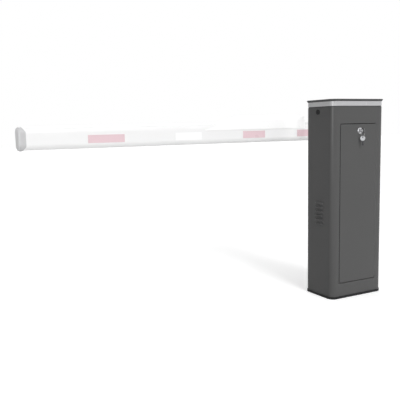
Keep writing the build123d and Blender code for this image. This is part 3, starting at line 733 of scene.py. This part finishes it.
# Stiffening cowl. A smooth white moulding that sits on the inner part of the boom and runs out in
# a low nose. Three white blind rivets on each face hold its skirt to the tube.
cowl_white = finish(
    "cowl_moulding", (254, 254, 254), 0.36, fine=500.0, broad=5.0, spread=0.02, bump=0.03,
    edge=0.001, Coat_Weight=0.3, Coat_Roughness=0.2
)
dress(cowl_white, "boom_cowl")
rivet_r = 0.0034
rivet_up = 0.012
rivet_flat = 0.28
rivet_shares = (0.06, 0.38, 0.7)  # of the cowl's length, from its root
cowl_low, cowl_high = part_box("boom_cowl")
bm = bmesh.new()
for share, (y, out) in product(rivet_shares, ((cowl_low.y, -1), (cowl_high.y, 1))):
    x = cowl_high.x + (cowl_low.x - cowl_high.x) * share
    head = bmesh.ops.create_uvsphere(
        bm, u_segments=16, v_segments=8, radius=rivet_r,
        matrix=standing((x, y, cowl_low.z + rivet_up), (0, out, 0))
    )["verts"]
    bmesh.ops.scale(bm, vec=(1, rivet_flat, 1), space=Matrix.Translation((0, -y, 0)), verts=head)
make_piece("cowl_rivets", bm, cowl_white, "boom", "cowl_white")


# Camera. It stands where the photograph was taken from, as fitted to the edges of the cabinet and
# the boom.
camera = add_object("camera", bpy.data.cameras.new("camera"))
camera.data.lens = 51.74
camera.data.sensor_width = 36.0
camera.data.clip_end = 60.0
camera.location = (-2.0461, -2.2874, 0.8762)
camera.rotation_euler = [math.radians(a) for a in (82.8103, 1.2225, -27.8118)]
bpy.context.scene.camera = camera
bpy.context.scene.view_settings.view_transform = "Standard"


# Light. A white studio: faint light from all round, a broad soft lamp from the front and weaker
# ones from above and behind. The camera and the gloss see plain white all round.
around = 0.12


def seen_straight(tree):
    """1 for what the camera, a reflection or a view through glass shows, 0 for light on things."""
    path = add_node(tree, "LightPath")
    seen = path["Is Camera Ray"]
    for other in ("Is Glossy Ray", "Is Transmission Ray"):
        seen = compute(tree, "MAXIMUM", seen, path[other])
    return seen


def aim(lamp, along):
    """Turn a lamp so that it shines along a vector."""
    lamp.rotation_euler = Vector(along).to_track_quat("-Z", "Y").to_euler()


def add_panel(name, power, place, target, width, height):
    """A rectangular lamp that lights a target and isn't seen itself."""
    panel = add_object(name, bpy.data.lights.new(name, "AREA"))
    panel.data.shape = "RECTANGLE"
    panel.data.size = width
    panel.data.size_y = height
    panel.data.energy = power
    panel.location = place
    aim(panel, Vector(target) - Vector(place))
    panel.visible_camera = False
    return panel


world = bpy.data.worlds.new("studio")
world.use_nodes = True
bpy.context.scene.world = world
sky = world.node_tree
background = sky.nodes["Background"].inputs
background["Color"].default_value = white
sky.links.new(ramp(sky, seen_straight(sky), 0.0, 1.0, around, 1.0), background["Strength"])

for name, power, breadth, along in (
    ("front_lamp", 2.03, 24, (0.0, 0.88, -0.46)),
    ("top_lamp", 1.15, 60, (0.05, 0.1, -1.0)),
    ("back_lamp", 0.9, 40, (-0.35, -0.8, -0.4)),
):
    lamp = add_object(name, bpy.data.lights.new(name, "SUN"))
    lamp.data.energy = power
    lamp.data.angle = math.radians(breadth)
    aim(lamp, along)

# A narrow panel shows only as a streak of gloss high on the upright corner. Weak ones lighten the
# boom's outer end and, from behind the cabinet's edge, take the cabinet's shade off its root.
streak = add_panel("high_streak", 44.0, (-2.64, -1.6, 1.15), (-0.16, -0.10, 0.9), 0.1, 0.3)
streak.visible_diffuse = False
tip_fill = add_panel("tip_fill", 0.3, (-1.95, 0.2, 0.85), (-1.6, 0.18, 0.84), 0.08, 0.2)
tip_fill.visible_glossy = False
fill_y = 0.112
fill_z = shaft_z + 0.035
for name, power, x, width in (
    ("outer_fill", 0.007, -0.2, 0.1),
    ("inner_fill", 0.088, -0.138, 0.09),
):
    fill = add_panel(name, power, (x, fill_y, fill_z), (x, fill_y + 1, fill_z), width, 0.2)
    fill.visible_glossy = False


# Floor. A pale matt sheet with broad faint clouds. It looks white, because it glows for the camera
# and the gloss only, and it keeps the object's soft shadow.
floor_half = 30.0
floor_tone = (0.83, 0.85)
floor_glow = (0.01, 0.4)
floor_material = bpy.data.materials.new("pale_floor")
floor_material.use_nodes = True
tree = floor_material.node_tree
tree.nodes.remove(tree.nodes["Principled BSDF"])
place = add_node(tree, "TexCoord")["Object"]
clouds = add_node(tree, "TexNoise", {"Vector": place, "Scale": 3.0})["Fac"]
matt = add_node(tree, "BsdfDiffuse", {"Color": ramp(tree, clouds, 0.0, 1.0, *floor_tone)})["BSDF"]
strength = ramp(tree, seen_straight(tree), 0.0, 1.0, *floor_glow)
glow = add_node(tree, "Emission", {"Strength": strength})["Emission"]
lit = add_node(tree, "AddShader", {0: matt, 1: glow})["Shader"]
tree.links.new(lit, tree.nodes["Material Output"].inputs["Surface"])
bm = bmesh.new()
bmesh.ops.create_grid(bm, x_segments=1, y_segments=1, size=floor_half)
floor = add_object("floor", make_mesh("floor", bm, floor_material))
